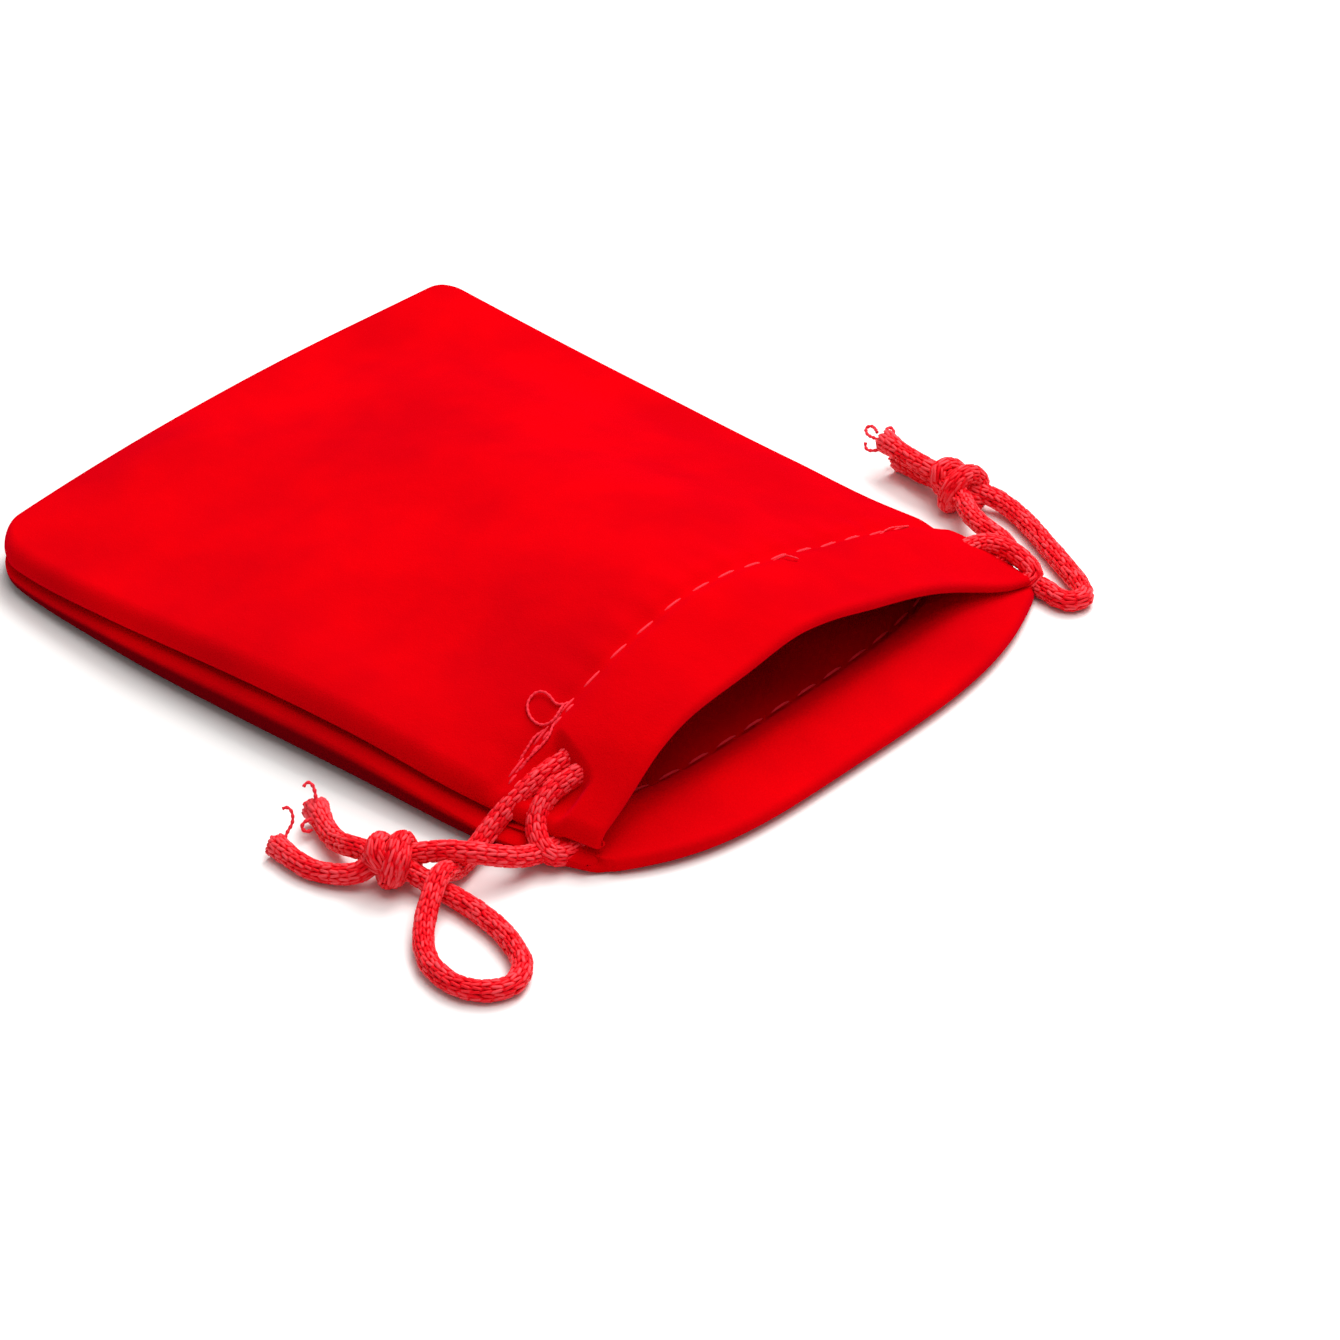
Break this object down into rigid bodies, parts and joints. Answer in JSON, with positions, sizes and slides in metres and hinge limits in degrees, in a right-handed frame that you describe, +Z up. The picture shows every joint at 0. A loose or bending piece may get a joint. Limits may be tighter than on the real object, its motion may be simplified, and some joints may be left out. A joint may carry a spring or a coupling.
{
  "type": "drawstring gift pouch",
  "caption": "Flat rectangular velvet pouch with a channel round its open mouth, closed by two knotted drawstrings that pull out of opposite sides.",
  "frame": {"origin": "middle of the resting face, on the surface it lies on", "axes": "+Y from the mouth to the closed end, +X across the pouch from the near string's side to the far string's, +Z up"},
  "size_m": [0.1466, 0.1322, 0.0195],
  "materials": {
    "velvet": "short-pile velvet",
    "string": "knitted polyester",
    "thread": "polyester sewing thread"
  },
  "bodies": {
    "pouch": {"front_panel": "velvet", "back_panel": "velvet", "near_side_stitches": "thread", "far_side_stitches": "thread", "closed_end_stitches": "thread", "front_hem_stitches": "thread", "back_hem_stitches": "thread", "near_string_channel_legs": "string", "far_string_channel_legs": "string"},
    "near_string_ends": {"near_string_front_end": "string", "near_string_back_end": "string", "near_string_knot": "string", "near_string_front_tail": "string", "near_string_back_tail": "string"},
    "near_string_bend": {"near_string_return_bend": "string"},
    "far_string_ends": {"far_string_front_end": "string", "far_string_back_end": "string", "far_string_knot": "string", "far_string_front_tail": "string", "far_string_back_tail": "string"},
    "far_string_bend": {"far_string_return_bend": "string"}
  },
  "joints": [
    {"name": "near_pull", "type": "slide", "parent": "pouch", "child": "near_string_ends", "axis": [-1, 0, 0], "range_m": [0, 0.015]},
    {"name": "near_draw_in", "type": "slide", "parent": "pouch", "child": "near_string_bend", "axis": [-1, 0, 0], "range_m": [0, 0.015], "deforming": ["front_panel", "near_string_channel_legs"]},
    {"name": "far_pull", "type": "slide", "parent": "pouch", "child": "far_string_ends", "axis": [1, 0, 0], "range_m": [0, 0.015]},
    {"name": "far_draw_in", "type": "slide", "parent": "pouch", "child": "far_string_bend", "axis": [1, 0, 0], "range_m": [0, 0.015], "deforming": ["back_panel", "far_string_channel_legs", "front_hem_stitches", "back_hem_stitches"]}
  ],
  "couplings": [
    {"joint": "near_draw_in", "follows": "near_pull", "ratio": 1},
    {"joint": "far_draw_in", "follows": "far_pull", "ratio": 1}
  ]
}
